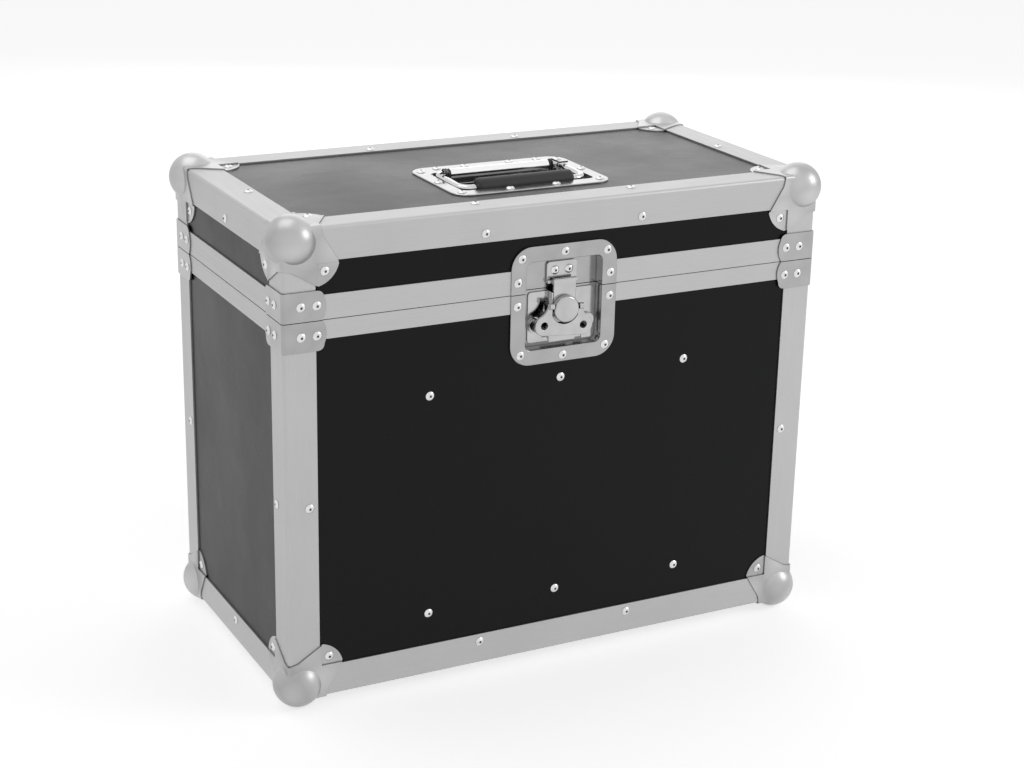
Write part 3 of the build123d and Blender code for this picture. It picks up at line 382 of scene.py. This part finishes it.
def clouds(tree, place, soft, dark, light, cells_in_metre):
    """A tone from light to dark by the distance in a cell times a soft noise."""
    links = {"Vector": place, "Scale": cells_in_metre}
    cells = node(tree, "ShaderNodeTexVoronoi", links)
    links = {0: cells.outputs["Distance"], 1: soft}
    mixed = node(tree, "ShaderNodeMath", links, operation="MULTIPLY")
    shade = node(tree, "ShaderNodeValToRGB", {"Fac": mixed.outputs[0]})
    first, last = shade.color_ramp.elements
    first.position, first.color = 0.05, (*grey(light), 1)
    last.position, last.color = 0.5, (*grey(dark), 1)
    return shade.outputs["Color"]


def painted_highlight_above(tree, place, tone, height):
    """The tone, and a painted highlight tone for the sleeve above a height in metres."""
    parts = node(tree, "ShaderNodeSeparateXYZ", {"Vector": place})
    links = {0: parts.outputs["Z"], 1: height}
    raised = node(tree, "ShaderNodeMath", links, operation="GREATER_THAN")
    links = {0: raised.outputs[0], 6: tone, 7: (*grey(sleeve_highlight_tone), 1)}
    return node(tree, "ShaderNodeMix", links, data_type="RGBA").outputs[2]


def coated(name, dark, light, roughness, cells_in_metre=260.0, wave=0.00004, above=None):
    """A plated metal whose tone and shine are clouded, with a painted highlight above a
    height.
    """
    made, tree, shader = material(name, grey(light), 1.0, roughness)
    place = node(tree, "ShaderNodeTexCoord").outputs["Object"]
    soft = place_noise(tree, cells_in_metre / 5)
    tone = clouds(tree, place, soft, dark, light, cells_in_metre)
    if above is not None:
        tone = painted_highlight_above(tree, place, tone, above)
    # Painted shade: the colour is darkened where the space around it is closed.
    painted_crevice_shade(tree, shader, tone)
    uneven_shine(tree, shader, soft, roughness - 0.05, roughness + 0.08)
    bump(tree, shader, soft, wave)
    return made


print("the sleeve is brighter above", sleeve_highlight_from, "m")

# %% [markdown]
# The plated pieces differ: the coat is dull on the ball corners, polished on the
# latch and palest on the rivets, and the handle's bail and the pins are chrome.
# Separate trees could be built for each, but one function does for all of them,
# with two tones, a roughness, the number of clouds in a metre and the height of
# the coat's waves.

# %% Zinc, plated steel and chrome
zinc = coated("zinc", 0.36, 0.41, 0.17, 60.0, 0.00002)
corner_zinc = coated("corner_zinc", 0.38, 0.56, 0.36, 36.0, 0.0001)
bright_zinc = coated("bright_zinc", 0.45, 0.52, 0.11, 90.0, 0.00001)
# The handle's plate takes the sleeve's painted highlight above that height.
handle_steel = coated("handle_steel", 0.40, 0.46, 0.13, 60.0, 0.00002, sleeve_highlight_from)
plated_rivet = coated("plated_rivet", 0.66, 0.78, 0.22)
chrome = coated("chrome", 0.58, 0.66, 0.1, 120.0, 0.00001)
print([m.name for m in (zinc, corner_zinc, bright_zinc, handle_steel, plated_rivet, chrome)])

# %% [markdown]
# The grip is moulded black rubber and the springs are black coated wire. Both
# could be plain black, but next to the metal they are matt in different ways.
# Rubber scatters light at its skin, so its shine is wide and dull and a fine
# noise breaks it up; the wire's coat is smoother and its noise is coarser.


# %% Rubber and black wire
def fine_skin(name, colour, dull, glossy, noise_scale, skin_height):
    """A black skin whose shine and bump follow one fine noise."""
    made, tree, shader = material(name, colour, 0.0, (dull + glossy) / 2)
    skin = place_noise(tree, noise_scale)
    uneven_shine(tree, shader, skin, glossy, dull)
    bump(tree, shader, skin, skin_height)
    return made


rubber = fine_skin("rubber", grey(0.012), 0.58, 0.42, 1100.0, 0.00008)
black_wire = fine_skin("black_wire", (0.02, 0.02, 0.021), 0.42, 0.28, 500.0, 0.00003)
print(rubber.name, black_wire.name)

# %% [markdown]
# Each CAD node keeps its shape and gets its finish by name. A table with all sixty
# names would do, but the names say what a node is made of and which way it runs,
# so a few rules cover them, and a node that no rule knows stops the script
# instead of staying grey. Upright pieces take the aluminium whose lines run along
# z, the front and back ones x, and the left and right ones y.


# %% Give each node its finish
def finish_for(name):
    """The material of a CAD node, by what its name says."""
    if "rivets" in name:
        return plated_rivet
    if "panel" in name:
        return black_laminate
    if name.startswith("divider") and name != "divider_channels":
        return divider_laminate
    if name in ("divider_channels", "lid_corner_angles") or name.startswith("body_edge"):
        return aluminium[2]
    if "edge" in name or "rim" in name:
        return aluminium[0] if name.endswith(("front", "back")) else aluminium[1]
    if name in ("handle_bail", "hinge_pins", "latch_wing_pin"):
        return chrome
    if name == "handle_grip" or "foam" in name:
        return rubber
    if name == "handle_springs":
        return black_wire
    if "ball" in name:
        return corner_zinc
    if "brace" in name or name.endswith("dish") or name.startswith("hinge"):
        return zinc
    if name == "handle_plate":
        return handle_steel
    if name.startswith("latch"):
        return bright_zinc
    raise ValueError(f"no finish for {name}")


for name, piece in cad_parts.items():
    piece.data.materials.clear()
    piece.data.materials.append(finish_for(name))
print("finished", len(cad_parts), "nodes")

# %% [markdown]
# The pads are open-celled foam, dark and without any gloss. A plain dark grey
# would look like felt. Cells smaller than two millimetres give it its pores: the
# same pattern darkens them as painted shade and presses them in, and a little
# sheen stands for the fine fibres that catch the light at a shallow angle.

# %% Foam
pores_in_metre = 620.0
pore_depth = 0.0005
foam, tree, shader = material("open_foam", (0.022, 0.022, 0.024), 0.0, 0.95)
shader.inputs["Sheen Weight"].default_value = 0.25
place = node(tree, "ShaderNodeTexCoord").outputs["Object"]
pores = node(tree, "ShaderNodeTexVoronoi", {"Vector": place, "Scale": pores_in_metre})
# Painted shade: the pores, where the bump presses in, take the darker tone.
tone = node(tree, "ShaderNodeValToRGB", {"Fac": pores.outputs["Distance"]})
tone.color_ramp.elements[0].color = (0.008, 0.008, 0.009, 1)
tone.color_ramp.elements[1].color = (0.034, 0.034, 0.037, 1)
tree.links.new(tone.outputs["Color"], shader.inputs["Base Color"])
bump(tree, shader, pores.outputs["Distance"], pore_depth)
print(foam.name, "with", pores_in_metre, "pores in a metre")

# %% [markdown]
# Foam is soft, so its plain solids are replaced. A pad cut from sheet foam is
# almost a block, but its top swells a little and its sides draw in between the
# corners. Simulating cloth would be far too much for that. The surface is a
# block divided into a fine grid, whose points are moved by a formula, all of them
# at once as one array, and they stay inside the space of the CAD solid.


# %% Shape of a pad
side_pull = 0.0012
edge_round = 0.0025
crown = 0.0008


def places_of(mesh):
    """The places of a mesh's points, one row each."""
    flat = np.empty(3 * len(mesh.vertices), dtype=np.float32)
    mesh.vertices.foreach_get("co", flat)
    return flat.reshape(-1, 3).astype(float)


def crowned(shares, half, open_side):
    """Places round the middle of a pad, from shares of -1 to 1 of its half sizes.

    A side is pulled in by side_pull, times the fourth power of its own share, times
    one less the square of the other's, so it gives way most between two corners.
    The open face sinks by edge_round times the fourteenth powers of both shares,
    which reaches only the rim, and by crown times one less the product of both
    (one less the square), which is nothing in the middle and most at the rim. The
    sinking fades to nothing at half height.
    """
    a, b, c = shares.T
    side_a, side_b = 1 - a * a, 1 - b * b
    x = a * (half[0] - side_pull * side_b * np.abs(a) ** 4)
    y = b * (half[1] - side_pull * side_a * np.abs(b) ** 4)
    sunk = edge_round * (np.abs(a) ** 14 + np.abs(b) ** 14) + crown * (1 - side_a * side_b)
    z = c * half[2] - open_side * sunk * np.maximum(c * open_side, 0.0)
    return np.stack((x, y, z), axis=1)


print("pads sink by up to", 1000 * (2 * edge_round + crown), "mm at their corners")

# %% [markdown]
# A foam node of the CAD model holds several pads side by side. Their boxes could
# be typed in again, but then they would have to follow every change of the model,
# so they are read from the node. Each pad rides on the body that its solid is on.


# %% Foam pads
grid_cuts = 15


def pad(name, low, high, open_side, body):
    """A foam pad inside a box, crowned on its open side."""
    half, middle = (high - low) / 2, (high + low) / 2
    bm = bmesh.new()
    bmesh.ops.create_cube(bm, size=2.0)
    bmesh.ops.subdivide_edges(bm, edges=bm.edges[:], cuts=grid_cuts, use_grid_fill=True)
    mesh = bpy.data.meshes.new(name)
    bm.to_mesh(mesh)
    bm.free()
    moved = middle + crowned(places_of(mesh), half, open_side)
    mesh.vertices.foreach_set("co", moved.astype(np.float32).ravel())
    mesh.update()
    mesh.shade_smooth()
    mesh.materials.append(foam)
    made = bpy.data.objects.new(name, mesh)
    scene.collection.objects.link(made)
    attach(made, body)
    return made


def islands(cad_node):
    """The box of each solid of a CAD node, told apart by where they start along x."""
    points = places_of(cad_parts[cad_node].data)
    boxes = []
    starts = sorted({round(float(x), 4) for x in points[:, 0]})
    for low_x, high_x in zip(starts[::2], starts[1::2]):
        inside = (points[:, 0] > low_x - 1e-4) & (points[:, 0] < high_x + 1e-4)
        boxes.append((points[inside].min(axis=0), points[inside].max(axis=0)))
    return boxes


for cad_node, open_side, body in (("body_foam", 1, "case"), ("lid_foam", -1, "lid")):
    boxes = islands(cad_node)
    for index, (low, high) in enumerate(boxes):
        made = pad(f"{cad_node}_pad_{index + 1}", low, high, open_side, body)
        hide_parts(cad_node)
    print(cad_node, "has", len(boxes), "pads")
